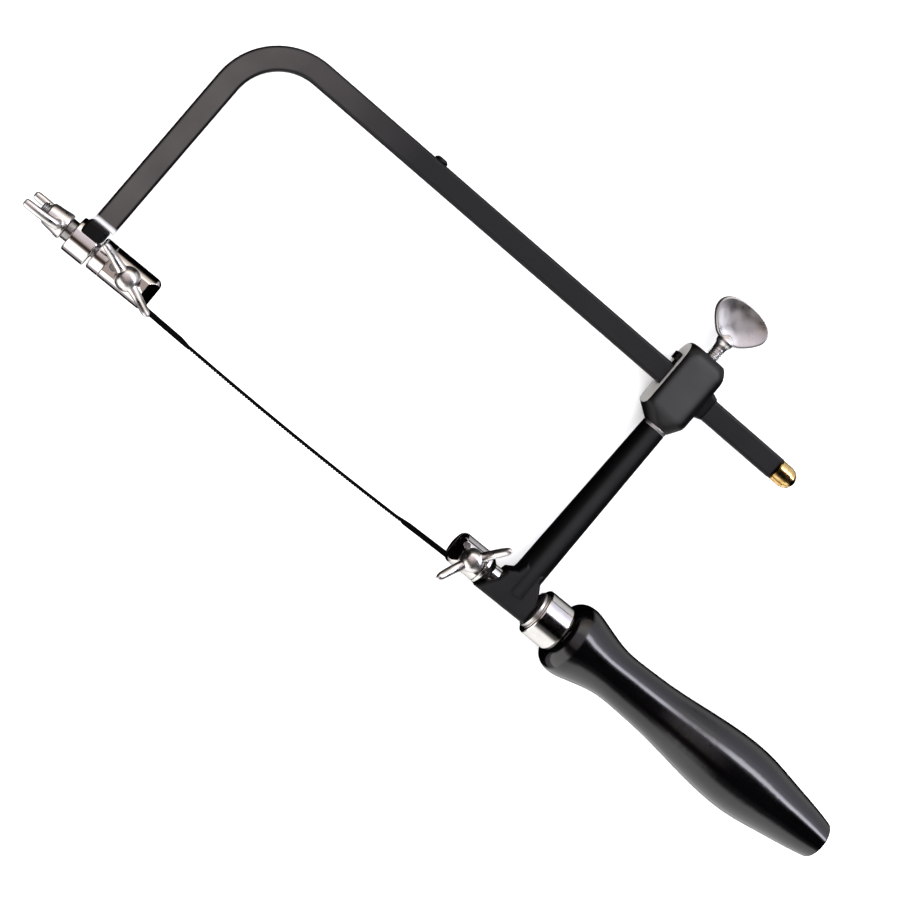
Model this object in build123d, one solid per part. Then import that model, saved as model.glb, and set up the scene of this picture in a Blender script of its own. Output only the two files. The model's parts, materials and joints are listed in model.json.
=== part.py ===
"""Adjustable piercing-saw frame with a fitted blade, one solid per separate piece.

Drawn lying on its side, in millimetres. While drawing, X runs along the blade from the
front clamp to the handle, Y from the blade towards the top bar, and Z is across the frame.
The blade's chord is y = 0 and the frame's middle plane is z = 0. At the end everything is
moved so that the origin is the middle of the underside of the bounding box.
"""

from build123d import *
import math
import os

# Driving dimensions
AXIS_Y = 4.0             # common axis of handle, ferrule, clamp studs and tension rod
FIT = 0.05               # radial clearance of every running fit
GAP = 0.02               # gap between faces that close on each other
M4_R = 2.0
M5_R = 2.5
FAR = 20.0               # reach of a cutting tool that must pass right through a piece

# Blade: standard 130 mm piercing blade, slightly slack
BLADE_LENGTH = 130.0
BLADE_FRONT = -9.2       # front end, inside the front clamp
BLADE_THICK = 0.5
BLADE_SAG = 1.05         # outward bow at mid-length
TAB_BACK = 0.9           # plain ends, above and below the chord
TAB_FRONT = -0.85
TOOTH_BACK = 0.45
TOOTH_ROOT = -0.5
TOOTH_TIP = -0.8
TOOTH_PITCH = 1.0
TOOTHED_FROM = 15.0
TOOTHED_TO = 97.0
TAPER = 3.0              # length over which a plain end narrows to the toothed part

# Clamps: round studs milled to half their depth, with loose plates over the blade
STUD_R = 5.35
STUD_END_ROUND = 2.0     # rounding of each stud's mouth
NOSE_LENGTH = 3.2        # slope on top of each mouth, so that the blade can be seen
NOSE_DROP = 2.2
JAW_FLAT = BLADE_THICK / 2 + GAP
PLATE_TOP = 4.6
PIN_LOW = -3.8
PIN_TOP = 4.3
SCREW_TIP = -5.0
FRONT_STUD_X = -22.6
FRONT_MOUTH = -2.0
FRONT_PLATE_X = -18.2
FRONT_SCREW_X = -10.9
FRONT_WING_ANGLE = -21.0
FRONT_PIN_X = -16.0
FRONT_PIN_R = 1.2
REAR_MOUTH = 114.2
REAR_PLATE_X = 125.0
REAR_SCREW_X = 120.6
REAR_WING_ANGLE = 59.5
REAR_PIN_X = 116.9
REAR_PIN_Y = 6.6
REAR_PIN_R = 0.9
EAR_HALF_THICK = 1.35
WING_HUB = [              # radius, height: from the seat to the domed top
    (3.5, 0), (3.9, 0.6), (3.4, 3.78), (2.6, 4.58), (0, 4.78),
]
WING_EAR = [             # distance from the screw's axis, height above the clamp's middle
    (0, 5.6), (5.0, 5.9), (9.6, 7.2), (11.9, 9.3), (12.05, 11.3), (10.8, 12.2),
    (8.6, 11.3), (4.6, 8.9), (0, 8.6),
]

# Tensioner on the foot of the front leg
BARREL_LEFT = -31.1
BARREL_RIGHT = -23.5
BARREL_R = 5.8
FOOT_LEFT = -29.9
FOOT_RIGHT = -22.95
FOOT_TOP = 10.9
FOOT_Z = 5.6
TENON_LEFT = -28.6
TENON_RIGHT = -24.0
WASHER_LEFT = -33.4
NUT_RIGHT = -33.43
NUT_LEFT = -40.4
NUT_ANGLE = -79.5
NUT_EAR = [              # along the rod, distance from the rod's axis
    (-34.4, 3.0), (-35.4, 5.0), (-38.6, 6.6), (-43.2, 7.9), (-46.2, 8.0), (-46.9, 7.0),
    (-45.8, 5.7), (-43.0, 4.6), (-40.2, 3.0),
]
NUT_EAR_HALF_THICK = 1.45
ROD_LEFT = -42.4
ROD_RIGHT = -19.0

# Top bar and front leg, one flat bar bent a little more than square
BAR_WIDTH = 7.25
BAR_THICK = 5.0
BAR_Y = 85.05
BAR_END = 176.6
BAR_EDGE = 1.0           # rounding of the bar's long edges
LEG_FOOT_X = -25.55      # middle of the leg at the top of its foot
LEG_HEAD_X = -24.3       # middle of the leg produced to the bar's middle
BEND_R = 22.8            # outside of the bend
STOP_X = 37.0
STOP_R = 1.5
END_STEM = 6.0
END_CAP = [              # distance beyond the bar's end, radius
    (0, 3.3), (0.4, 3.6), (4.4, 3.6), (5.8, 3.2), (6.9, 2.4), (7.5, 1.3), (7.7, 0),
]

# Rear arm and the casting that slides on the bar
ARM_FOOT_X = 138.4
ARM_HEAD_X = 138.7
ARM_FOOT_R = 5.0
ARM_HEAD_R = 4.2
ARM_HEAD_Y = 69.7
SPIGOT_R = 3.0
SPIGOT_TOP = 76.0
ELBOW_Z = 4.4
ELBOW_END = 146.4        # flat face against the tang's washer
ELBOW_OUTLINE = [        # from the arm round the stud's side to the washer and back
    (134.9, 14.0), (134.0, 10.3), (131.6, 8.7), (130.8, 4.75), (126.6, -1.6),
    (ELBOW_END, -1.4), (ELBOW_END, 5.4), (144.3, 8.6), (142.3, 11.6), (141.9, 14.0),
]
BLOCK_X = 137.9
BLOCK_HALF = 7.6
BLOCK_Z = 6.3
BLOCK_LOW = 71.0
BLOCK_TOP = 97.4
BLOCK_CAST_X = 137.1     # middle of the casting before its front side is milled flat
BLOCK_SECTIONS = [       # height, middle, half width, half depth, corner radius
    (BLOCK_LOW, ARM_HEAD_X, 4.4, 4.4, 4.2),
    (74.9, BLOCK_CAST_X, 8.2, 6.0, 4.5),
    (76.2, BLOCK_CAST_X, 8.4, BLOCK_Z, 4.5),
    (92.8, BLOCK_CAST_X, 8.4, BLOCK_Z, 4.5),
    (94.2, BLOCK_CAST_X, 8.2, 6.1, 4.4),
    (95.4, BLOCK_CAST_X, 7.7, 5.7, 4.2),
    (96.6, BLOCK_CAST_X, 6.9, 5.1, 3.9),
    (BLOCK_TOP, BLOCK_CAST_X, 6.2, 4.4, 3.5),
]
BOSS_END = 147.6
SHOE_SLOT_TOP = 92.4
SHOE_SLOT_Z = 2.3
SHOE_THICK = 1.2

# Thumb screw
SCREW_X = 138.3
PADDLE_HALF_THICK = 1.3
PADDLE_SIDE = [          # half width, height: right-hand edge from the stem up
    (2.6, 103.9), (5.6, 105.7), (8.4, 109.0), (9.75, 112.4), (8.4, 115.4), (4.7, 117.0),
]
PADDLE_TOP = 117.4

# Handle and its fittings
FERRULE_X = 147.6
FERRULE_R = 7.9
FERRULE_WALL = 0.8
HANDLE_X = 156.8
HANDLE_END = 268.0
BUTT_R = 6.55
NECK_R = FERRULE_R - FERRULE_WALL
TANG_START = 140.0
TANG_END = 215.0
HANDLE_PROFILE = [       # x, radius
    (HANDLE_X, FERRULE_R), (157.1, 9.2), (158.9, 11.1), (162.4, 12.0), (167.2, 11.2),
    (173.0, 9.6), (179.0, 8.4), (187.0, 8.3), (198.5, 8.85), (210.5, 10.15), (222.5, 11.45),
    (231.0, 11.9), (238.7, 11.55), (246.9, 10.35), (255.1, 9.0), (263.3, 7.6), (HANDLE_END, BUTT_R),
]


# Drawing helpers

def turned_x(points, y=AXIS_Y):
    """Solid of revolution about an axis parallel to X, from (x, radius) points."""
    return Pos(0, y, 0) * revolve(make_face(Polyline(*points, close=True)), Axis.X)


def turned_y(points, x):
    """Solid of revolution about an axis parallel to Y, from (radius, y) points."""
    return Pos(x, 0, 0) * revolve(make_face(Polyline(*points, close=True)), Axis.Y)


def turned_z(points):
    """Solid of revolution about the Z axis, from (radius, z) points."""
    return revolve(Plane.XZ * make_face(Polyline(*points, close=True)), Axis.Z)


def rod_x(x0, x1, radius, y=AXIS_Y):
    """Plain cylinder parallel to X."""
    return Pos((x0 + x1) / 2, y, 0) * Rot(0, 90, 0) * Cylinder(radius, x1 - x0)


def rod_y(y0, y1, radius, x):
    """Plain cylinder parallel to Y."""
    return Pos(x, (y0 + y1) / 2, 0) * Rot(90, 0, 0) * Cylinder(radius, y1 - y0)


def rod_z(z0, z1, radius, x, y):
    """Plain cylinder parallel to Z."""
    return Pos(x, y, (z0 + z1) / 2) * Cylinder(radius, z1 - z0)


def block(x0, x1, y0, y1, z0, z1):
    """Box from its limits."""
    return Pos((x0 + x1) / 2, (y0 + y1) / 2, (z0 + z1) / 2) * Box(x1 - x0, y1 - y0, z1 - z0)


def plate_xy(points, half_thick):
    """Flat shape drawn in the frame's plane, extruded both ways from z = 0."""
    return extrude(make_face(Polyline(*points, close=True)), half_thick, both=True)


def outer_rims(solid, radius):
    """Circular edges of at least this radius."""
    circles = solid.edges().filter_by(GeomType.CIRCLE)
    return circles.filter_by(lambda edge: edge.radius > radius - 0.01)


def flat_edges(solid):
    """Edges round the two flat faces of a plate lying in the frame's plane."""
    return solid.faces().filter_by(Axis.Z).edges()


# Handle end

def make_handle():
    """Turned grip with a neck inside the ferrule and a bore for the tang."""
    neck_x = FERRULE_X + FERRULE_WALL
    rest = Polyline(
        (HANDLE_END, BUTT_R), (HANDLE_END, 0), (TANG_END, 0), (TANG_END, M5_R),
        (neck_x, M5_R), (neck_x, NECK_R), (HANDLE_X, NECK_R), (HANDLE_X, FERRULE_R),
    )
    grip = Pos(0, AXIS_Y, 0) * revolve(make_face([Spline(*HANDLE_PROFILE), rest]), Axis.X)
    butt = outer_rims(grip, BUTT_R).sort_by(Axis.X)[-1]
    return fillet(butt, 1.0)


def make_ferrule():
    """Drawn metal cup over the handle's neck, its front edge rounded."""
    inside = FERRULE_X + FERRULE_WALL
    shell = turned_x([
        (FERRULE_X, M5_R), (FERRULE_X, FERRULE_R), (HANDLE_X, FERRULE_R), (HANDLE_X, NECK_R),
        (inside, NECK_R), (inside, M5_R),
    ])
    return fillet(outer_rims(shell, FERRULE_R).sort_by(Axis.X)[0], 0.6)


def make_handle_tang():
    """Steel rod joining the rear arm's elbow to the handle."""
    return rod_x(TANG_START, TANG_END, M5_R)


def make_tang_washer():
    """Thick washer between the elbow and the ferrule."""
    radius = 6.2
    ring = rod_x(ELBOW_END, FERRULE_X, radius) - rod_x(ELBOW_END, FERRULE_X, M5_R)
    return fillet(outer_rims(ring, radius), 0.3)


# Rear arm, slide block and lock

def nose_wedge(mouth, inward):
    """What is milled off the top of a stud's mouth; inward is the X direction into the stud."""
    top = STUD_R + 1
    side = Plane.XZ * make_face(Polyline(
        (mouth - inward, PLATE_TOP - NOSE_DROP), (mouth, PLATE_TOP - NOSE_DROP),
        (mouth + inward * NOSE_LENGTH, PLATE_TOP), (mouth + inward * NOSE_LENGTH, top),
        (mouth - inward, top), close=True))
    return extrude(side, FAR, both=True)


def make_rear_stud_blank():
    """Rear clamp stud before its jaw is cut: rounded mouth with a nose, body, cone and spigot."""
    stud = turned_x([
        (REAR_MOUTH, 0), (REAR_MOUTH, STUD_R), (126.2, STUD_R), (128.6, 3.4), (134.0, 3.4), (134.0, 0),
    ])
    stud = fillet(outer_rims(stud, STUD_R).sort_by(Axis.X)[0], STUD_END_ROUND)
    return stud - nose_wedge(REAR_MOUTH, 1)


def make_rear_arm():
    """Tapered round arm with a forged elbow that carries the stud and the tang."""
    foot_plane = Plane((ARM_FOOT_X, AXIS_Y, 0), x_dir=(1, 0, 0), z_dir=(0, 1, 0))
    head_plane = Plane((ARM_HEAD_X, ARM_HEAD_Y, 0), x_dir=(1, 0, 0), z_dir=(0, 1, 0))
    arm = loft([foot_plane * Circle(ARM_FOOT_R), head_plane * Circle(ARM_HEAD_R)])
    elbow = fillet(flat_edges(plate_xy(ELBOW_OUTLINE, ELBOW_Z)), 1.3)
    spigot = rod_y(ARM_HEAD_Y, SPIGOT_TOP, SPIGOT_R, ARM_HEAD_X)
    return arm + elbow + spigot - make_rear_stud_blank() - make_handle_tang()


def make_arm_collar():
    """Thin bright ring where the arm enters the slide block."""
    ring = rod_y(ARM_HEAD_Y, BLOCK_LOW, ARM_HEAD_R, ARM_HEAD_X)
    ring -= rod_y(ARM_HEAD_Y, BLOCK_LOW, SPIGOT_R, ARM_HEAD_X)
    return fillet(outer_rims(ring, ARM_HEAD_R), 0.4)


def rounded_section(y, x, half_x, half_z, radius):
    """Rounded rectangle lying across Y at height y."""
    plane = Plane((x, y, 0), x_dir=(1, 0, 0), z_dir=(0, 1, 0))
    return plane * RectangleRounded(2 * half_x, 2 * half_z, radius)


def boss_section(x, half_y, half_z, radius):
    """Rounded rectangle lying across X, round the bar."""
    plane = Plane((x, BAR_Y, 0), x_dir=(0, 1, 0), z_dir=(1, 0, 0))
    return plane * RectangleRounded(2 * half_y, 2 * half_z, radius)


def make_slide_block():
    """Rounded casting on the arm's head, bored for the bar, the shoe and the thumb screw."""
    left = BLOCK_X - BLOCK_HALF
    right = BLOCK_X + BLOCK_HALF
    body = loft([rounded_section(*section) for section in BLOCK_SECTIONS], ruled=True)
    body -= block(left - FAR, left, BLOCK_LOW - 1, BLOCK_TOP + 1, -FAR, FAR)
    boss = loft([boss_section(right - 2.0, 5.4, 4.4, 1.8), boss_section(BOSS_END, 4.0, 3.0, 0.7)])
    half_w = BAR_WIDTH / 2 + FIT
    half_t = BAR_THICK / 2 + FIT
    bar_bore = block(left - 1, BOSS_END + 1, BAR_Y - half_w, BAR_Y + half_w, -half_t, half_t)
    shoe_slot = block(left - 1, right - 1.0, BAR_Y, SHOE_SLOT_TOP, -SHOE_SLOT_Z, SHOE_SLOT_Z)
    screw_hole = rod_y(SHOE_SLOT_TOP - 1, BLOCK_TOP + 1, M4_R + FIT, SCREW_X)
    spigot_hole = rod_y(BLOCK_LOW - 1, SPIGOT_TOP, SPIGOT_R, ARM_HEAD_X)
    return body + boss - bar_bore - shoe_slot - screw_hole - spigot_hole


def make_lock_shoe():
    """Cranked pressure strip between thumb screw and bar, its outer end turned up as a hook."""
    low = BAR_Y + BAR_WIDTH / 2 + GAP
    half_z = SHOE_SLOT_Z - 0.2
    face = BLOCK_X - BLOCK_HALF
    strip = block(face + 0.6, BLOCK_X + BLOCK_HALF - 1.3, low, low + SHOE_THICK, -half_z, half_z)
    riser = block(face + 0.6, face + 1.8, low, low + 2.5, -half_z, half_z)
    tongue = block(face - 1.4, face + 1.8, low + 1.4, low + 2.5, -half_z, half_z)
    hook = block(face - 1.4, face - 0.3, low + 1.4, low + 3.9, -half_z, half_z)
    return strip + riser + tongue + hook


def make_thumb_screw():
    """Screw with a flat pear-shaped paddle to turn it by."""
    tip = BAR_Y + BAR_WIDTH / 2 + 2 * GAP + SHOE_THICK
    shank = turned_y([
        (0, tip), (1.5, tip), (M4_R, tip + 0.5), (M4_R, 101.8), (2.9, 104.4), (0, 106.0),
    ], SCREW_X)
    right = Spline(*PADDLE_SIDE, (0, PADDLE_TOP), tangents=[(3, 1), (-1, 0)])
    foot = Line((0, PADDLE_SIDE[0][1]), PADDLE_SIDE[0])
    half = make_face([foot, right, Line((0, PADDLE_TOP), (0, PADDLE_SIDE[0][1]))])
    paddle = extrude(half + mirror(half, Plane.YZ), PADDLE_HALF_THICK, both=True)
    paddle = Pos(SCREW_X, 0, 0) * fillet(flat_edges(paddle), 1.1)
    return shank + paddle


# Clamps

def make_wing_screw():
    """Wing screw with a straight two-eared head, its axis on Z and its thread downwards."""
    seat = PLATE_TOP + GAP
    thread = [(0, SCREW_TIP), (M4_R - 0.5, SCREW_TIP), (M4_R, SCREW_TIP + 0.5), (M4_R, seat)]
    body = turned_z(thread + [(radius, seat + height) for radius, height in WING_HUB])
    ear = make_face(Polyline(*WING_EAR, close=True))
    wing = extrude(Plane.XZ * ear, EAR_HALF_THICK, both=True)
    wing = fillet(wing.faces().filter_by(Axis.Y).edges(), 0.6)
    return body + wing + mirror(wing, Plane.YZ)


def placed_screw(x, angle):
    """Wing screw set into a clamp at x and turned to its parked angle."""
    return Pos(x, AXIS_Y, 0) * Rot(0, 0, angle) * make_wing_screw()


def make_front_stud_blank():
    """Front clamp stud before its jaw is cut: rounded mouth with a nose."""
    stud = rod_x(FRONT_STUD_X, FRONT_MOUTH, STUD_R)
    stud = fillet(outer_rims(stud, STUD_R).sort_by(Axis.X)[-1], STUD_END_ROUND)
    stud = fillet(outer_rims(stud, STUD_R).sort_by(Axis.X)[0], 0.7)
    return stud - nose_wedge(FRONT_MOUTH, -1)


def make_jaw_plate(blank, x0, x1, screw_x, pin_x, pin_y, pin_r):
    """Loose clamp plate: a segment of the stud's own shape, drilled for screw and pin."""
    segment = blank & block(x0, x1, -FAR, FAR, JAW_FLAT, PLATE_TOP)
    segment -= rod_z(-FAR, FAR, M4_R + 0.3, screw_x, AXIS_Y)
    return segment - rod_z(-FAR, FAR, pin_r + FIT, pin_x, pin_y)


def cut_jaw(blank, x0, x1, screw_x, pin_x, pin_y, pin_r):
    """Mills a stud down to its jaw face, taps it for the screw and drills it for the pin."""
    stud = blank - block(x0, x1, -FAR, FAR, -JAW_FLAT, FAR)
    stud -= rod_z(-FAR, FAR, M4_R + FIT, screw_x, AXIS_Y)
    return stud - rod_z(PIN_LOW, FAR, pin_r, pin_x, pin_y)


def make_rear_clamp_body():
    """Rear stud with its jaw."""
    return cut_jaw(make_rear_stud_blank(), REAR_MOUTH - 1, REAR_PLATE_X + 0.2, REAR_SCREW_X,
                   REAR_PIN_X, REAR_PIN_Y, REAR_PIN_R)


def make_rear_clamp_pin():
    """Dowel that keeps the rear plate in line."""
    return rod_z(PIN_LOW, PIN_TOP - 0.2, REAR_PIN_R, REAR_PIN_X, REAR_PIN_Y)


def make_rear_clamp_plate():
    """Loose plate of the rear clamp."""
    return make_jaw_plate(make_rear_stud_blank(), REAR_MOUTH, REAR_PLATE_X, REAR_SCREW_X,
                          REAR_PIN_X, REAR_PIN_Y, REAR_PIN_R)


def make_front_clamp_body():
    """Front stud with its jaw, screwed on the tension rod."""
    stud = cut_jaw(make_front_stud_blank(), FRONT_PLATE_X - 0.2, FRONT_MOUTH + 1, FRONT_SCREW_X,
                   FRONT_PIN_X, AXIS_Y, FRONT_PIN_R)
    return stud - rod_x(FRONT_STUD_X - 1, ROD_RIGHT, M5_R)


def make_front_clamp_pin():
    """Dowel that keeps the front plate in line."""
    return rod_z(PIN_LOW, PIN_TOP, FRONT_PIN_R, FRONT_PIN_X, AXIS_Y)


def make_front_clamp_plate():
    """Loose plate of the front clamp."""
    return make_jaw_plate(make_front_stud_blank(), FRONT_PLATE_X, FRONT_MOUTH, FRONT_SCREW_X,
                          FRONT_PIN_X, AXIS_Y, FRONT_PIN_R)


# Front frame and tensioner

def leg_x(y):
    """Middle of the slightly leaning leg at height y."""
    return LEG_FOOT_X + (LEG_HEAD_X - LEG_FOOT_X) * (y - FOOT_TOP) / (BAR_Y - FOOT_TOP)


def make_leg_tenon():
    """Narrower end of the leg that is let into the foot."""
    half = BAR_THICK / 2 - BAR_EDGE
    return block(TENON_LEFT, TENON_RIGHT, AXIS_Y + BARREL_R - 0.8, FOOT_TOP + 2, -half, half) - rod_x(
        BARREL_LEFT, BARREL_RIGHT, BARREL_R)


def make_frame_bar():
    """Flat bar bent once into front leg and top bar."""
    half = BAR_WIDTH / 2
    low = BAR_Y - half
    high = BAR_Y + half
    outline = make_face(Polyline(
        (leg_x(FOOT_TOP) - half, FOOT_TOP), (leg_x(high) - half, high), (BAR_END, high),
        (BAR_END, low), (leg_x(low) + half, low), (leg_x(FOOT_TOP) + half, FOOT_TOP), close=True))
    outer = outline.vertices().sort_by_distance((leg_x(high) - half, high))[0]
    outline = fillet(outer, BEND_R)
    inner = outline.vertices().sort_by_distance((leg_x(low) + half, low))[0]
    outline = fillet(inner, BEND_R - BAR_WIDTH)
    bar = extrude(outline, BAR_THICK / 2, both=True)
    bar = fillet(flat_edges(bar), BAR_EDGE) + make_leg_tenon()
    stop_hole = rod_y(low - 1, high + 1, STOP_R, STOP_X)
    return bar - stop_hole - rod_x(BAR_END - END_STEM, BAR_END + 1, STOP_R, BAR_Y)


def make_stop_pin():
    """Pin through the bar whose low head stops the slide block; flush on the inner side."""
    low = BAR_Y - BAR_WIDTH / 2
    high = BAR_Y + BAR_WIDTH / 2
    return turned_y([
        (0, low), (STOP_R, low), (STOP_R, high), (2.2, high), (2.2, high + 0.6),
        (1.5, high + 1.2), (0, high + 1.2),
    ], STOP_X)


def make_end_stop():
    """Domed brass end of the bar, its stem let into the bar."""
    stem = [(BAR_END - END_STEM, 0), (BAR_END - END_STEM, STOP_R), (BAR_END, STOP_R)]
    return turned_x(stem + [(BAR_END + x, radius) for x, radius in END_CAP], BAR_Y)


def make_leg_foot():
    """Painted lug on the end of the leg, saddled on the barrel and bevelled round its top."""
    lug = block(FOOT_LEFT, FOOT_RIGHT, AXIS_Y + 2.3, FOOT_TOP, -FOOT_Z, FOOT_Z)
    lug = fillet(lug.edges().filter_by(Axis.Y), 1.1)
    lug = chamfer(lug.faces().sort_by(Axis.Y)[-1].edges(), 0.8)
    return lug - rod_x(BARREL_LEFT, FOOT_RIGHT + 1, BARREL_R) - make_leg_tenon()


def make_front_barrel():
    """Plated barrel in the leg's foot that guides the tension rod."""
    barrel = fillet(outer_rims(rod_x(BARREL_LEFT, BARREL_RIGHT, BARREL_R), BARREL_R), 0.5)
    return barrel - rod_x(BARREL_LEFT - 1, BARREL_RIGHT + 1, M5_R + FIT)


def make_tension_washer():
    """Dark thrust washer between barrel and tension nut."""
    radius = 3.4
    ring = rod_x(WASHER_LEFT, BARREL_LEFT, radius) - rod_x(WASHER_LEFT - 1, BARREL_LEFT + 1, M5_R + FIT)
    return fillet(outer_rims(ring, radius), 0.3)


def make_tension_rod():
    """Threaded rod screwed into the front stud and drawn through the barrel by the nut."""
    return turned_x([
        (ROD_LEFT, 0), (ROD_LEFT, M5_R - 0.6), (ROD_LEFT + 0.6, M5_R), (ROD_RIGHT, M5_R), (ROD_RIGHT, 0),
    ])


def make_tension_wing_nut():
    """Wing nut with two swept-back ears, its axis on X."""
    hub = turned_x([
        (NUT_LEFT, M5_R + FIT), (NUT_LEFT, 3.1), (NUT_LEFT + 0.6, 3.7), (-36.5, 4.0), (-34.6, 4.25),
        (NUT_RIGHT, 4.25), (NUT_RIGHT, M5_R + FIT),
    ])
    ear = fillet(flat_edges(plate_xy(NUT_EAR, NUT_EAR_HALF_THICK)), 0.6)
    ears = Pos(0, AXIS_Y, 0) * Rot(NUT_ANGLE, 0, 0) * (ear + mirror(ear, Plane.XZ))
    return hub + (ears - rod_x(NUT_LEFT - 9, NUT_RIGHT + 1, M5_R + FIT))


# Blade

def bow(x):
    """Sideways offset of the slack blade at x; straight inside the clamps."""
    t = (x - FRONT_MOUTH) / (REAR_MOUTH - FRONT_MOUTH)
    if t < 0:
        return -BLADE_SAG * math.pi * t
    if t > 1:
        return BLADE_SAG * math.pi * (t - 1)
    return -BLADE_SAG * math.sin(math.pi * t)


def make_blade():
    """Piercing blade: plain ends, a narrower toothed part, bowed slightly outwards."""
    end = BLADE_FRONT + BLADE_LENGTH
    step = 4.0
    back = [(BLADE_FRONT, TAB_BACK)]
    x = 0.0
    while x <= TOOTHED_FROM - TAPER:
        back.append((x, TAB_BACK))
        x += step
    x = TOOTHED_FROM
    while x <= TOOTHED_TO:
        back.append((x, TOOTH_BACK))
        x += step
    back += [(x, TAB_BACK) for x in (TOOTHED_TO + TAPER, 108.0, REAR_MOUTH, end)]
    edge = [(x, TAB_FRONT) for x in (end, REAR_MOUTH, 108.0, TOOTHED_TO + 1)]
    for i in range(round((TOOTHED_TO - TOOTHED_FROM) / TOOTH_PITCH)):
        x = TOOTHED_TO - i * TOOTH_PITCH
        edge += [(x, TOOTH_ROOT), (x - 0.7 * TOOTH_PITCH, TOOTH_TIP)]
    edge += [(x, TAB_FRONT) for x in (TOOTHED_FROM - 1, 8.0, 0.0, BLADE_FRONT)]
    outline = [(x, y + bow(x)) for x, y in back + edge]
    return plate_xy(outline, BLADE_THICK / 2)


parts = {
    "handle": make_handle(),
    "ferrule": make_ferrule(),
    "handle_tang": make_handle_tang(),
    "tang_washer": make_tang_washer(),
    "rear_arm": make_rear_arm(),
    "arm_collar": make_arm_collar(),
    "slide_block": make_slide_block(),
    "lock_shoe": make_lock_shoe(),
    "thumb_screw": make_thumb_screw(),
    "rear_clamp_body": make_rear_clamp_body(),
    "rear_clamp_pin": make_rear_clamp_pin(),
    "rear_clamp_plate": make_rear_clamp_plate(),
    "rear_wing_screw": placed_screw(REAR_SCREW_X, REAR_WING_ANGLE),
    "blade": make_blade(),
    "frame_bar": make_frame_bar(),
    "stop_pin": make_stop_pin(),
    "end_stop": make_end_stop(),
    "leg_foot": make_leg_foot(),
    "front_barrel": make_front_barrel(),
    "tension_washer": make_tension_washer(),
    "tension_rod": make_tension_rod(),
    "tension_wing_nut": make_tension_wing_nut(),
    "front_clamp_body": make_front_clamp_body(),
    "front_clamp_pin": make_front_clamp_pin(),
    "front_clamp_plate": make_front_clamp_plate(),
    "front_wing_screw": placed_screw(FRONT_SCREW_X, FRONT_WING_ANGLE),
}

boxes = [solid.bounding_box() for solid in parts.values()]
low = [min(tuple(box.min)[i] for box in boxes) for i in range(3)]
high = [max(tuple(box.max)[i] for box in boxes) for i in range(3)]
to_row = Pos(-(low[0] + high[0]) / 2, -(low[1] + high[1]) / 2, -low[2])
print("limits", low, high)

os.makedirs("parts", exist_ok=True)
for name, solid in parts.items():
    export_step(to_row * solid, f"parts/{name}.step")
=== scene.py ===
"""Looks for the scroll saw: materials, finely made screws and threads, camera and studio.

Everything is in the CAD frame: the saw lies on its side, X runs along the blade to the
handle, Y from the blade to the top bar, and Z is up. Sizes are written in millimetres and
turned into metres where they meet Blender.
"""
import json
import math

import bpy
from mathutils import Matrix, Vector


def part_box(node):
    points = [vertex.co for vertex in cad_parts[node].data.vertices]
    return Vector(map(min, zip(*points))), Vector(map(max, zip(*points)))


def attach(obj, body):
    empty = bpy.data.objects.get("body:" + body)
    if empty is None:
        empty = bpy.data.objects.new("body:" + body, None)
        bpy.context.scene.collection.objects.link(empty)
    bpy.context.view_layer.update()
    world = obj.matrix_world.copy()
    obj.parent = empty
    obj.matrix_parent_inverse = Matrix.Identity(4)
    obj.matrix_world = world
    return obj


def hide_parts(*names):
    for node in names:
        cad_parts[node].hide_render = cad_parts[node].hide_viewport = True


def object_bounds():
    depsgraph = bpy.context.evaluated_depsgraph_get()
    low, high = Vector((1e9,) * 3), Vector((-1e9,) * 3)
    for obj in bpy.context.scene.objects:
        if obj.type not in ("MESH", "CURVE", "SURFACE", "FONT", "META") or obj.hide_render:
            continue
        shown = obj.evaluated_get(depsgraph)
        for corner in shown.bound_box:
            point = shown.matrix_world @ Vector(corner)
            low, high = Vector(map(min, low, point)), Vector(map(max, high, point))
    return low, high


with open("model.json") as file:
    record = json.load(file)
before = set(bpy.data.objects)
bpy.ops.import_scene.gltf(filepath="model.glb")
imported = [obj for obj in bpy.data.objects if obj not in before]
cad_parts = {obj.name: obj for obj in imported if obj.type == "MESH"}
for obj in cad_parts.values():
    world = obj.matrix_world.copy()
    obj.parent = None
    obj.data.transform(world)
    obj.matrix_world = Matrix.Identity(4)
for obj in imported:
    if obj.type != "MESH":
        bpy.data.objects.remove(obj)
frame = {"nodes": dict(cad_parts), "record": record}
cad_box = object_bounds()
nodes = frame["nodes"]
joints = {joint["name"]: joint for joint in frame["record"]["behaviour"]["joints"]}
MM = 0.001
BLACK = (0.0, 0.0, 0.0)


def node_centre(name):
    low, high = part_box(name)
    return (low + high) / 2


AXIS = node_centre("ferrule")                 # a point of the axis shared by clamps and handle


# Shader building

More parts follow.
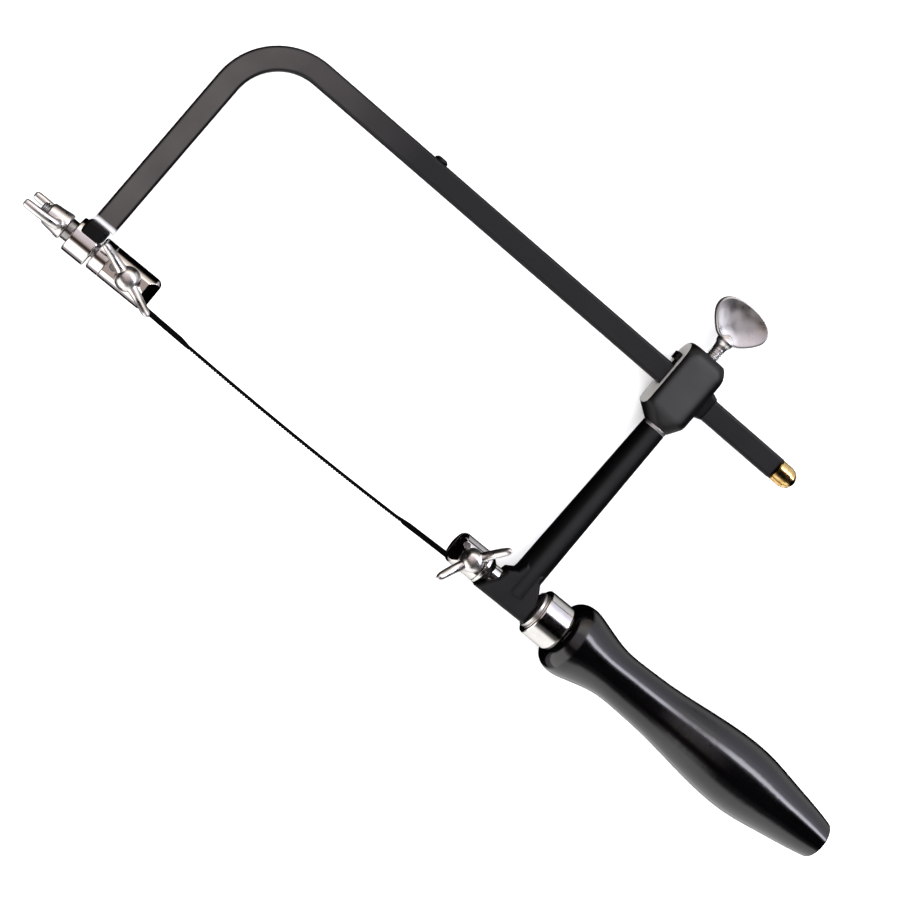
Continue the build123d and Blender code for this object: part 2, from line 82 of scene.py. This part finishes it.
class Graph:
    """A node tree with helpers that add a node, feed its sockets and return its output."""

    def __init__(self, tree):
        self.tree = tree

    def node(self, kind, **properties):
        made = self.tree.nodes.new(kind)
        for key, value in properties.items():
            setattr(made, key, value)
        return made

    def link(self, output, socket):
        self.tree.links.new(output, socket)

    def feed(self, socket, value):
        """Sets a socket to a number or a colour, or links it to an output."""
        if isinstance(value, (int, float)):
            socket.default_value = value
        elif isinstance(value, tuple):
            socket.default_value = (*value, 1)
        else:
            self.link(value, socket)

    def calc(self, operation, a, b=0.0):
        """Arithmetic on numbers or outputs."""
        made = self.node("ShaderNodeMath", operation=operation)
        for socket, value in zip(made.inputs, (a, b)):
            self.feed(socket, value)
        return made.outputs["Value"]

    def mix(self, factor, color_a, color_b):
        made = self.node("ShaderNodeMix", data_type="RGBA")
        for name, value in zip(("Factor", "A", "B"), (factor, color_a, color_b)):
            self.feed(made.inputs[name], value)
        return made.outputs["Result"]

    def remap(self, source, low, high, to_low=0.0, to_high=1.0):
        """Stretches low..high onto another range and holds the value beyond both ends."""
        made = self.node("ShaderNodeMapRange")
        ends = {"From Min": low, "From Max": high, "To Min": to_low, "To Max": to_high}
        for name, value in ends.items():
            made.inputs[name].default_value = value
        self.link(source, made.inputs["Value"])
        return made.outputs["Result"]

    def components(self, vector):
        """X, Y and Z of a vector, by letter."""
        split = self.node("ShaderNodeSeparateXYZ")
        self.link(vector, split.inputs["Vector"])
        return split.outputs


class Shade(Graph):
    """A Principled material with helpers that add procedural detail in millimetres."""

    def __init__(self, name, color, metallic, roughness):
        self.mat = bpy.data.materials.new(name)
        self.mat.use_nodes = True
        super().__init__(self.mat.node_tree)
        self.bsdf = self.tree.nodes["Principled BSDF"]
        self.set(Base_Color=(*color, 1), Metallic=metallic, Roughness=roughness)
        self.coords = self.node("ShaderNodeTexCoord").outputs["Object"]
        self.normal = None

    def set(self, **sockets):
        """Sets constant sockets; underscores stand for spaces."""
        for key, value in sockets.items():
            self.bsdf.inputs[key.replace("_", " ")].default_value = value

    def color(self, source):
        self.link(source, self.bsdf.inputs["Base Color"])

    def roughness(self, source):
        self.link(source, self.bsdf.inputs["Roughness"])

    def noise(self, scale, detail=4.0, stretch=(1, 1, 1)):
        """Noise with so many features per millimetre."""
        mapping = self.node("ShaderNodeMapping")
        mapping.inputs["Scale"].default_value = [s / MM for s in stretch]
        self.link(self.coords, mapping.inputs["Vector"])
        made = self.node("ShaderNodeTexNoise")
        made.inputs["Scale"].default_value = scale
        made.inputs["Detail"].default_value = detail
        self.link(mapping.outputs["Vector"], made.inputs["Vector"])
        return made.outputs["Fac"]

    def spread(self, noise, to_low, to_high):
        """Maps the middle of a noise, where most of its values lie, onto a range."""
        return self.remap(noise, 0.3, 0.7, to_low, to_high)

    def coordinate(self, axis):
        """Object X, Y or Z in metres."""
        return self.components(self.coords)[axis]

    def rounded_normal(self, radius):
        """The surface's normal, its edges rounded by this radius."""
        bevel = self.node("ShaderNodeBevel", samples=8)
        bevel.inputs["Radius"].default_value = radius * MM
        return bevel.outputs["Normal"]

    def facing(self, axis, radius):
        """Object-space X, Y or Z component of the rounded normal."""
        local = self.node("ShaderNodeVectorTransform", vector_type="NORMAL",
                          convert_from="WORLD", convert_to="OBJECT")
        self.link(self.rounded_normal(radius), local.inputs["Vector"])
        return self.components(local.outputs["Vector"])[axis]

    def soften(self, radius):
        """Rounds sharp edges in the shading, as a coat of paint or plate does."""
        self.normal = self.rounded_normal(radius)
        self.link(self.normal, self.bsdf.inputs["Normal"])

    def bump(self, source, depth):
        """Adds relief of so many millimetres."""
        made = self.node("ShaderNodeBump")
        made.inputs["Strength"].default_value = 1.0
        made.inputs["Distance"].default_value = depth * MM
        self.link(source, made.inputs["Height"])
        if self.normal is not None:
            self.link(self.normal, made.inputs["Normal"])
        self.normal = made.outputs["Normal"]
        self.link(self.normal, self.bsdf.inputs["Normal"])


# Materials

ENAMEL = (0.0055, 0.0055, 0.006)
# Painted shade: the lug's enamel is made much darker than the same black paint elsewhere.
LUG_ENAMEL_SHADED = (0.0004, 0.0004, 0.0004)
LEG_ENAMEL_LIT = (0.027, 0.024, 0.0235)           # painted light: the leg is paler than the rest of the bar
BAR_ENAMEL = (0.0055, 0.0055, 0.0062)
CASTING_ENAMEL = (0.020, 0.020, 0.021)
# Painted highlight: pale grey for the casting's face towards the front of the frame.
LIT_SIDE_GREY = (0.36, 0.35, 0.34)
# Painted highlight: pale grey for the band at the foot of the leg.
HIGHLIGHT_GREY = (0.60, 0.60, 0.63)
LACQUER_BLACK = (0.0005, 0.0005, 0.0006)
LACQUER_GRAIN = (0.0003, 0.0003, 0.0004), (0.0012, 0.0010, 0.0012)
BRIGHT_PLATE = (0.90, 0.87, 0.84)
CAST_PLATE = (0.93, 0.90, 0.87)
DULL_PLATE = (0.86, 0.84, 0.82)
PLAIN_STEEL = (0.50, 0.50, 0.51)
BLACK_STEEL = (0.035, 0.034, 0.035)
OILED_STEEL = (0.35, 0.34, 0.33)
BLADE_STEEL = (0.012, 0.012, 0.013)
BRASS_CLEAN = (0.95, 0.68, 0.28)
BRASS_TARNISHED = (0.72, 0.40, 0.11)

LEG_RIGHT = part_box("leg_foot")[1].x
FADE_LENGTH = 55.0                            # along the bar, from the leg to past the bend, where the painted light fades out
# Top of the painted highlight band at the foot of the leg.
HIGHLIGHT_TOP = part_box("leg_foot")[1].y + 2.0 * MM
HIGHLIGHT_EDGE = 1.2                               # width of the step from the painted highlight to the paint


def scaled(color, factor):
    return tuple(channel * factor for channel in color)


def black_paint(name, color, soften=0.5, fade=None, rim=0.8, lit_side=False, highlight_below=None):
    """Satin black enamel: orange peel, handling marks, and painted shade that darkens the rounded edges.

    fade is (start x, end x, colour): the paint turns to that colour between the two places; this is painted
    light, the leg paler than the bar.
    rim is how far in from its edges a flat face turns towards full black: painted shade on the edges.
    milled paints the flat face towards the front of the frame pale grey: a painted highlight.
    highlight_below is a height in Y under which the paint turns pale grey: a painted highlight at the foot
    of the leg.
    """
    s = Shade(name, color, metallic=0.0, roughness=0.42)
    s.set(Specular_IOR_Level=0.3)
    handling = s.noise(0.06, detail=3.0)
    peel = s.noise(2.2, detail=5.0)
    base = s.mix(s.remap(handling, 0.35, 0.7), color, scaled(color, 1.4))
    # Painted light: the paint is paler at the leg and darkens along the bar.
    if fade:
        start, end, other = fade
        base = s.mix(s.remap(s.coordinate("X"), start, end), base, other)
    # Painted shade: where the rounded normal turns away from Z, the paint goes near black.
    flat = s.remap(s.calc("ABSOLUTE", s.facing("Z", rim)), 0.88, 0.998)
    base = s.mix(flat, scaled(color, 0.04), base)
    # Painted highlight: the face towards the front of the frame turns pale grey.
    if lit_side:
        base = s.mix(s.remap(s.facing("X", 0.1), -0.97, -0.99), base, LIT_SIDE_GREY)
    # Painted highlight: a pale band under a height in Y.
    if highlight_below:
        highlight_band = s.remap(s.coordinate("Y"), highlight_below, highlight_below - HIGHLIGHT_EDGE * MM)
        base = s.mix(highlight_band, base, HIGHLIGHT_GREY)
    s.color(base)
    s.roughness(s.calc("ADD", s.spread(handling, 0.38, 0.46), s.spread(peel, -0.04, 0.04)))
    s.soften(soften)
    s.bump(peel, 0.010)
    return s.mat


def lacquer(name):
    """Deep black lacquer over turned wood: clear coat, long grain faintly showing through."""
    s = Shade(name, LACQUER_BLACK, metallic=0.0, roughness=0.14)
    s.set(Specular_IOR_Level=0.5, Coat_Weight=0.5, Coat_Roughness=0.06)
    grain = s.noise(0.9, detail=6.0, stretch=(0.05, 1, 1))
    film = s.noise(0.22, detail=2.0, stretch=(0.4, 1, 1))
    s.color(s.mix(grain, *LACQUER_GRAIN))
    s.roughness(s.spread(film, 0.09, 0.17))
    s.bump(grain, 0.006)
    s.bump(film, 0.05)
    return s.mat


def nickel(name, color, rough, lay=(1, 1, 1)):
    """Nickel plate: soft waviness, hairlines, faint dulled patches."""
    s = Shade(name, color, metallic=1.0, roughness=rough)
    cloud = s.noise(0.30, detail=3.0)
    hair = s.noise(3.0, detail=5.0, stretch=lay)
    s.color(s.mix(s.remap(cloud, 0.45, 0.75), color, scaled(color, 0.9)))
    dulled = s.spread(cloud, rough * 0.8, rough * 1.6)
    s.roughness(s.calc("ADD", dulled, s.spread(hair, -0.01, 0.03)))
    s.soften(0.25)
    s.bump(hair, 0.002)
    s.bump(cloud, 0.012)
    return s.mat


def steel(name, color, rough, lay=(1, 1, 1)):
    """Plain or blackened steel with grinding lines along one direction."""
    s = Shade(name, color, metallic=1.0, roughness=rough)
    lines = s.noise(4.0, detail=6.0, stretch=lay)
    cloud = s.noise(0.4, detail=3.0)
    s.color(s.mix(s.remap(cloud, 0.35, 0.7), color, scaled(color, 0.6)))
    s.roughness(s.spread(lines, rough * 0.75, rough * 1.3))
    s.bump(lines, 0.006)
    return s.mat


def brass(name):
    """Polished brass with turning marks and light tarnish."""
    s = Shade(name, BRASS_CLEAN, metallic=1.0, roughness=0.16)
    turning = s.noise(3.0, detail=2.0, stretch=(1, 0.05, 0.05))
    tarnish = s.noise(0.6)
    s.color(s.mix(s.remap(tarnish, 0.4, 0.7), BRASS_CLEAN, BRASS_TARNISHED))
    s.roughness(s.spread(tarnish, 0.10, 0.24))
    s.bump(turning, 0.006)
    return s.mat


PAINT = black_paint("satin_black", ENAMEL)
# Painted shade: a darker copy of the black paint, for the lug.
LUG_PAINT_SHADED = black_paint("lug_painted_shade", LUG_ENAMEL_SHADED, soften=0.2)
BAR_PAINT = black_paint("bar_black", LEG_ENAMEL_LIT, soften=0.3, rim=0.9, highlight_below=HIGHLIGHT_TOP,
                        fade=(LEG_RIGHT, LEG_RIGHT + FADE_LENGTH * MM, BAR_ENAMEL))
BLOCK_PAINT = black_paint("casting_black", CASTING_ENAMEL, soften=1.2, rim=3.0, lit_side=True)
LACQUER = lacquer("black_lacquer")
NICKEL = nickel("bright_nickel", BRIGHT_PLATE, rough=0.07)
CAST = nickel("cast_nickel", CAST_PLATE, rough=0.24)
SATIN = nickel("satin_nickel", DULL_PLATE, rough=0.28, lay=(1, 0.3, 1))
STEEL = steel("tool_steel", PLAIN_STEEL, rough=0.32, lay=(0.1, 1, 1))
DARK = steel("blackened_steel", BLACK_STEEL, rough=0.38)
WASHER = steel("oiled_steel", OILED_STEEL, rough=0.22)
BLADE = steel("blade_steel", BLADE_STEEL, rough=0.40, lay=(0.1, 1, 1))
BRASS = brass("brass")

FINISH = {
    LACQUER: ["handle"],
    PAINT: ["rear_arm", "stop_pin"],
    LUG_PAINT_SHADED: ["leg_foot"],
    BAR_PAINT: ["frame_bar"],
    BLOCK_PAINT: ["slide_block"],
    NICKEL: [
        "ferrule", "rear_clamp_body", "rear_clamp_plate", "rear_wing_screw", "front_barrel",
        "front_clamp_body", "front_clamp_plate", "front_wing_screw", "tension_wing_nut",
    ],
    SATIN: ["tang_washer", "arm_collar", "thumb_screw"],
    STEEL: ["handle_tang", "rear_clamp_pin", "front_clamp_pin", "tension_rod"],
    DARK: ["lock_shoe"],
    WASHER: ["tension_washer"],
    BLADE: ["blade"],
    BRASS: ["end_stop"],
}


def finish_cad_nodes():
    for material, names in FINISH.items():
        for name in names:
            mesh = nodes[name].data
            mesh.materials.clear()
            mesh.materials.append(material)


finish_cad_nodes()


# Mesh building: a piece is drawn in millimetres about its own axis

ROUND_SIDES = 64          # points around a turned solid
THREAD_SIDES = 48         # points around a thread
THREAD_STEPS = 10         # rings of a thread per turn
LEAD_IN = 0.6             # length of the tapered start of a thread
LEAD_IN_SHARE = 0.75      # its radius at the very tip, as a share of the thread's
EAR_SIDES = 28
CASTING_VOXEL = 0.16      # grain of the skin that fuses a casting's parts
CASTING_SMOOTHING = 6


def curve_through(points, steps):
    """Smooth curve (Catmull-Rom) through tuples of any length."""
    padded = [points[0], *points, points[-1]]
    made = []

    def between(p, q, r, s, t):
        linear = (r - p) * t
        square = (2 * p - 5 * q + 4 * r - s) * t * t
        cubic = (3 * q - p - 3 * r + s) * t ** 3
        return 0.5 * (2 * q + linear + square + cubic)

    for i in range(len(points) - 1):
        a, b, c, d = padded[i:i + 4]
        for k in range(steps):
            made.append(tuple(between(p, q, r, s, k / steps) for p, q, r, s in zip(a, b, c, d)))
    return made + [points[-1]]


def tube(rings):
    """Closed skin over rings that all have the same number of points."""
    count = len(rings[0])
    points = [point for ring in rings for point in ring]
    faces = []
    for i in range(len(rings) - 1):
        for j in range(count):
            k = (j + 1) % count
            faces.append((i * count + j, i * count + k, (i + 1) * count + k, (i + 1) * count + j))
    faces.append(tuple(reversed(range(count))))
    faces.append(tuple(range(len(points) - count, len(points))))
    return points, faces


def turned(profile):
    """Solid of revolution about Z from (z, radius) pairs, lowest first."""
    angles = [2 * math.pi * j / ROUND_SIDES for j in range(ROUND_SIDES)]
    return tube([[(r * math.cos(a), r * math.sin(a), z) for a in angles] for z, r in profile])


def threaded(low, high, radius, pitch, depth):
    """Screw thread about Z: the radius follows a rounded V that climbs once a turn."""
    steps = round((high - low) / pitch * THREAD_STEPS)
    rings = []
    for i in range(steps + 1):
        z = low + (high - low) * i / steps
        lead_in = min(1.0, (z - low) / LEAD_IN)
        ring = []
        for j in range(THREAD_SIDES):
            turn = j / THREAD_SIDES
            phase = (z / pitch - turn) % 1.0
            groove = depth * (0.5 - 0.5 * math.cos(2 * math.pi * phase)) ** 1.5
            r = (radius - groove) * (LEAD_IN_SHARE + (1 - LEAD_IN_SHARE) * lead_in)
            ring.append((r * math.cos(2 * math.pi * turn), r * math.sin(2 * math.pi * turn), z))
        rings.append(ring)
    return tube(rings)


def swept_ear(path):
    """Wing ear in the XZ plane from (x, z, half width, half thickness) stations."""
    stations = curve_through(path, 7)
    rings = []
    for i, (x, z, width, thick) in enumerate(stations):
        before, after = stations[max(i - 1, 0)], stations[min(i + 1, len(stations) - 1)]
        along = Vector((after[0] - before[0], 0, after[1] - before[1])).normalized()
        across = Vector((-along.z, 0, along.x))
        ring = []
        for j in range(EAR_SIDES):
            a = 2 * math.pi * j / EAR_SIDES
            offset = across * (width * math.cos(a)) + Vector((0, thick * math.sin(a), 0))
            ring.append((x + offset.x, offset.y, z + offset.z))
        rings.append(ring)
    return tube(rings)


def turned_over(shell):
    """The same shell turned half round about Z."""
    points, faces = shell
    spin = Matrix.Rotation(math.pi, 3, "Z")
    return [tuple(spin @ Vector(point)) for point in points], faces


def mesh_of(name, shells):
    points, faces = [], []
    for shell_points, shell_faces in shells:
        faces += [tuple(len(points) + i for i in face) for face in shell_faces]
        points += shell_points
    mesh = bpy.data.meshes.new(name)
    mesh.from_pydata([tuple(c * MM for c in point) for point in points], [], faces)
    mesh.update()
    return mesh


def fused(name, shells):
    """Overlapping shells melted into one casting-like skin with soft inside corners."""
    helper = bpy.data.objects.new(name, mesh_of(name, shells))
    bpy.context.scene.collection.objects.link(helper)
    skin = helper.modifiers.new("Remesh", "REMESH")
    skin.mode = "VOXEL"
    skin.voxel_size = CASTING_VOXEL * MM
    smooth = helper.modifiers.new("Smooth", "SMOOTH")
    smooth.factor = 0.6
    smooth.iterations = CASTING_SMOOTHING
    graph = bpy.context.evaluated_depsgraph_get()
    made = bpy.data.meshes.new_from_object(helper.evaluated_get(graph))
    bpy.data.objects.remove(helper)
    return made


def joined(name, meshes):
    """One mesh from several."""
    points, faces = [], []
    for mesh in meshes:
        faces += [tuple(len(points) + i for i in face.vertices) for face in mesh.polygons]
        points += [vertex.co.copy() for vertex in mesh.vertices]
    made = bpy.data.meshes.new(name)
    made.from_pydata(points, [], faces)
    made.update()
    return made


def place(stands_for, mesh, matrix, material, body):
    """Puts a finished mesh in the frame as a piece that replaces a CAD node."""
    mesh.materials.clear()
    mesh.materials.append(material)
    mesh.transform(matrix.to_3x3().to_4x4())
    mesh.shade_smooth()
    piece = bpy.data.objects.new(stands_for + "_fine", mesh)
    piece.location = matrix.translation
    bpy.context.scene.collection.objects.link(piece)
    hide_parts(stands_for)
    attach(piece, body)


# Wing screws of the two clamps

SCREW_SEAT = 4.62         # height of the head's seat above the stud's axis
SCREW_TIP = -5.0
SCREW_SUNK = 0.6          # how far the shank reaches into the head
FRONT_WINGS = -21.0       # degrees, the angle at which each screw is parked
REAR_WINGS = 59.5
M4_PITCH = 0.7
HUB = [                   # height, radius
    (SCREW_SEAT, 3.3), (4.8, 3.75), (5.4, 3.85), (6.6, 3.6), (7.8, 3.2), (8.7, 2.5), (9.2, 1.5), (9.35, 0.5),
]
EAR = [                   # distance from the axis, height, half width, half thickness
    (1.0, 6.9, 1.7, 1.9), (4.0, 7.2, 1.55, 1.55), (6.8, 8.1, 1.45, 1.38), (9.2, 9.5, 1.4, 1.32),
    (10.9, 10.75, 1.2, 1.15), (11.65, 11.35, 0.75, 0.75), (11.93, 11.55, 0.25, 0.25),
]


def wing_screw(name, joint, angle, body):
    """Cast head with two curled ears on an M4 shank."""
    ear = swept_ear(EAR)
    head = fused(name, [turned(curve_through(HUB, 4)), ear, turned_over(ear)])
    thread = threaded(SCREW_TIP, SCREW_SEAT + SCREW_SUNK, radius=2.0, pitch=M4_PITCH, depth=0.35)
    screw = joined(name, [head, mesh_of(name, [thread])])
    x, y, _ = joints[joint]["pos_m"]
    turn = Matrix.Rotation(math.radians(angle), 4, "Z")
    place(name, screw, Matrix.Translation((x, y, AXIS.z)) @ turn, CAST, body)


wing_screw("front_wing_screw", "front_screw_turn", FRONT_WINGS, "front_screw")
wing_screw("rear_wing_screw", "rear_screw_turn", REAR_WINGS, "rear_screw")


# Tension nut, drawn about Z and laid along -X, and its rod, laid along X

NUT_TURN = -79.5          # degrees about the rod, the angle at which the nut is parked
NUT_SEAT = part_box("tension_wing_nut")[1].x
ROD_LOW, ROD_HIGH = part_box("tension_rod")
M5_PITCH = 0.8
NUT_HUB = [               # distance from the seat, radius
    (0.0, 3.9), (0.3, 4.15), (1.2, 4.2), (3.1, 3.9), (5.6, 3.65), (6.6, 3.4), (6.9, 2.75),
]
NUT_EAR = [               # distance from the axis, from the seat, half width, half thickness
    (1.6, 1.9, 1.5, 1.7), (4.2, 2.6, 1.45, 1.6), (5.6, 4.6, 1.35, 1.5), (6.5, 7.8, 1.3, 1.44),
    (6.85, 10.8, 1.25, 1.42), (6.9, 12.6, 1.15, 1.3), (6.9, 13.15, 0.85, 1.0), (6.9, 13.3, 0.4, 0.5),
]


def tension_nut():
    """Cast wing nut: round hub and two ears swept back over the rod."""
    name = "tension_wing_nut"
    ear = swept_ear(NUT_EAR)
    mesh = fused(name, [turned(curve_through(NUT_HUB, 4)), ear, turned_over(ear)])
    seat = Matrix.Translation((NUT_SEAT, AXIS.y, AXIS.z))
    spin = Matrix.Rotation(math.radians(NUT_TURN), 4, "X")
    laid = Matrix.Rotation(-math.pi / 2, 4, "Y")
    across = Matrix.Rotation(math.pi / 2, 4, "Z")
    place(name, mesh, seat @ spin @ laid @ across, CAST, "tension_nut")


def tension_rod():
    """M5 rod with its thread."""
    name = "tension_rod"
    length = (ROD_HIGH.x - ROD_LOW.x) / MM
    mesh = mesh_of(name, [threaded(0.0, length, radius=2.49, pitch=M5_PITCH, depth=0.4)])
    tip = Matrix.Translation((ROD_LOW.x, AXIS.y, AXIS.z))
    laid = Matrix.Rotation(math.pi / 2, 4, "Y")
    place(name, mesh, tip @ laid, STEEL, "front_clamp")


tension_nut()
tension_rod()


# Thumb screw: drawn with its axis on Z and the paddle in the XZ plane

THUMB_LOW, THUMB_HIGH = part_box("thumb_screw")
PADDLE_SIDE = [          # half width, depth below the top
    (0.0, 0.03), (2.5, 0.15), (5.0, 0.6), (7.3, 1.5), (9.0, 3.0), (9.65, 5.0), (9.2, 7.2), (7.7, 9.4),
    (5.7, 11.4), (3.6, 12.9), (0.0, 13.5),
]
PADDLE_MIDDLE = 5.6      # depth of the point about which the outline is shrunk
RIM = [                  # outline's scale, half thickness: a dished face and a rounded rim
    (0.02, 0.60), (0.30, 0.62), (0.50, 0.72), (0.70, 0.95), (0.86, 1.20), (0.93, 1.28), (0.975, 1.1),
    (0.995, 0.6), (1.0, 0.0),
]
NECK = [                 # height above the paddle's lower end, radius
    (-3.2, 1.95), (-1.6, 2.1), (-0.3, 2.75), (0.9, 2.6), (2.2, 1.2), (2.5, 0.2),
]
THREAD_END = -2.6        # the shank's thread ends inside the neck


def paddle(top):
    """Pear-shaped paddle with dished faces and a rounded rim, its top at this height."""
    side = curve_through(PADDLE_SIDE, 5)
    outline = side + [(-x, depth) for x, depth in reversed(side[1:-1])]
    middle = top - PADDLE_MIDDLE

    def ring(scale, y):
        return [(scale * x, y, middle - scale * (depth - PADDLE_MIDDLE)) for x, depth in outline]

    profile = curve_through(RIM, 5)
    front = [ring(scale, half) for scale, half in profile]
    back = [ring(scale, -half) for scale, half in reversed(profile[:-1])]
    return tube(front + back)


def thumb_screw():
    """Threaded shank, flared neck and dished paddle."""
    name = "thumb_screw"
    height = (THUMB_HIGH.y - THUMB_LOW.y) / MM
    foot = height - PADDLE_SIDE[-1][1]
    neck = turned(curve_through([(foot + rise, radius) for rise, radius in NECK], 4))
    shank = threaded(0.0, foot + THREAD_END, radius=1.98, pitch=M4_PITCH, depth=0.33)
    mesh = mesh_of(name, [paddle(height), neck, shank])
    tip = Matrix.Translation((node_centre(name).x, THUMB_LOW.y, AXIS.z))
    stand = Matrix.Rotation(-math.pi / 2, 4, "X")
    place(name, mesh, tip @ stand, SATIN, "lock_screw")


thumb_screw()


# Camera, floor and light

CAMERA_FROM_AXIS = Vector((-161.1, 40.8, 532.0)) * MM     # measured from the ferrule's centre
CAMERA_TURNS = (-40.09, "Z"), (2.07, "X"), (11.02, "Y")   # degrees, in the order they are made
LENS = 72.0
SENSOR = 36.0
FLOOR_HALF_SIDE = 1.1     # metres, as are the three below
FLOOR_DROP = 0.0004
OVERHEAD_PLACE = (0.0, 0.05, 1.3)
OVERHEAD_SIDE = 1.8
OVERHEAD_POWER = 52       # watts
PAPER = (0.90, 0.90, 0.90), (0.92, 0.92, 0.92)


def place_camera():
    """Long lens above the saw, turned so that the blade runs up to the left."""
    data = bpy.data.cameras.new("camera")
    data.lens = LENS
    data.sensor_width = SENSOR
    data.clip_start = 0.01
    data.clip_end = 20.0
    turn, pitch, yaw = (Matrix.Rotation(math.radians(angle), 4, axis) for angle, axis in CAMERA_TURNS)
    camera = bpy.data.objects.new("camera", data)
    camera.matrix_world = Matrix.Translation(AXIS + CAMERA_FROM_AXIS) @ (turn @ pitch @ yaw).transposed()
    bpy.context.scene.collection.objects.link(camera)
    bpy.context.scene.camera = camera


def make_floor():
    """Pale table top, a hair below the saw."""
    mesh = bpy.data.meshes.new("floor")
    side = FLOOR_HALF_SIDE
    corners = [(-side, -side, 0), (side, -side, 0), (side, side, 0), (-side, side, 0)]
    mesh.from_pydata(corners, [], [(0, 1, 2, 3)])
    floor = bpy.data.objects.new("floor", mesh)
    floor.location.z = -FLOOR_DROP
    bpy.context.scene.collection.objects.link(floor)
    s = Shade("floor_paper", PAPER[0], metallic=0.0, roughness=0.9)
    s.set(Specular_IOR_Level=0.1)
    s.color(s.mix(s.noise(0.5), *PAPER))
    mesh.materials.append(s.mat)
    floor.visible_glossy = False


def overhead_light():
    """Soft box over the saw, aimed at its middle and left out of reflections."""
    data = bpy.data.lights.new("overhead", "AREA")
    data.shape = "RECTANGLE"
    data.size = data.size_y = OVERHEAD_SIDE
    data.energy = OVERHEAD_POWER
    light = bpy.data.objects.new("overhead", data)
    aim = (cad_box[0] + cad_box[1]) / 2 - Vector(OVERHEAD_PLACE)
    light.location = OVERHEAD_PLACE
    light.rotation_euler = aim.to_track_quat("-Z", "Y").to_euler()
    light.visible_glossy = False
    bpy.context.scene.collection.objects.link(light)


# What polished surfaces reflect, by angle about the saw's long axis: -180 is under the saw,
# -90 the blade's side, 0 overhead and 90 the top bar's side. Each stop is (angle, colour).
ROUND_FRONT = [
    (-180, BLACK), (-128, BLACK), (-122, (0.34, 0.31, 0.34)), (-106, (0.42, 0.39, 0.42)),
    (-98, (1.6, 1.6, 1.6)), (-42, (1.5, 1.48, 1.45)), (-32, (0.25, 0.20, 0.18)), (-24, (0.03, 0.022, 0.02)),
    (-13, (0.05, 0.035, 0.03)), (-3, (0.45, 0.38, 0.36)), (10, (0.62, 0.55, 0.60)), (34, (0.75, 0.68, 0.75)),
    (44, (1.4, 1.38, 1.35)), (60, (1.5, 1.45, 1.4)), (78, (0.75, 0.66, 0.60)), (90, (0.5, 0.44, 0.40)),
    (98, BLACK), (180, BLACK),
]
ROUND_REAR = [
    (-180, BLACK), (-165, BLACK), (-145, (0.9, 0.9, 0.9)), (-108, (1.1, 1.1, 1.1)),
    (-60, (1.1, 1.1, 1.1)), (-46, (0.10, 0.10, 0.10)), (-26, BLACK), (26, BLACK),
    (34, (0.7, 0.7, 0.8)), (38, (7.0, 7.0, 7.8)), (46, (7.0, 7.0, 7.8)), (54, (1.4, 1.4, 1.6)),
    (76, (0.8, 0.8, 0.95)), (100, (0.6, 0.6, 0.65)), (125, (0.5, 0.5, 0.5)), (150, BLACK),
    (180, BLACK),
]
FRONT_TO_REAR = (0.12, 0.26)  # sideways share of a direction where one round gives way to the other
DARK_FRONT = (0.66, 0.76)     # the same share, towards the front, where the sky turns black
DARK_REAR = (0.84, 0.92)      # and towards the rear
WALLS = (0.95, 0.95, 0.95)


def ramp(graph, angle, stops):
    """Colour by angle, which is given as a share of a turn counted from -180 degrees."""
    made = graph.node("ShaderNodeValToRGB")
    made.color_ramp.interpolation = "LINEAR"
    elements = made.color_ramp.elements
    while len(elements) < len(stops):
        elements.new(0.5)
    for element, (degrees, color) in zip(elements, stops):
        element.position = (degrees + 180) / 360
        element.color = (*color, 1)
    graph.link(angle, made.inputs["Fac"])
    return made.outputs["Color"]


def make_world():
    """Soft boxes and black cards drawn on the sky; the camera itself sees pale walls."""
    world = bpy.data.worlds.new("studio")
    bpy.context.scene.world = world
    world.use_nodes = True
    graph = Graph(world.node_tree)
    direction = graph.components(graph.node("ShaderNodeTexCoord").outputs["Generated"])
    x, y, z = (direction[axis] for axis in "XYZ")
    turn = graph.calc("ADD", graph.calc("DIVIDE", graph.calc("ARCTAN2", y, z), 2 * math.pi), 0.5)
    front, rear = ramp(graph, turn, ROUND_FRONT), ramp(graph, turn, ROUND_REAR)
    around = graph.mix(graph.remap(x, *FRONT_TO_REAR), front, rear)
    front_end = graph.remap(graph.calc("MULTIPLY", x, -1.0), *DARK_FRONT)
    rear_end = graph.remap(x, *DARK_REAR)
    sky = graph.mix(graph.calc("MAXIMUM", front_end, rear_end), around, BLACK)
    ray = graph.node("ShaderNodeLightPath")
    seen = graph.mix(ray.outputs["Is Camera Ray"], sky, WALLS)
    graph.link(seen, graph.tree.nodes["Background"].inputs["Color"])


place_camera()
make_floor()
make_world()
overhead_light()

bpy.context.scene.view_settings.view_transform = "Standard"
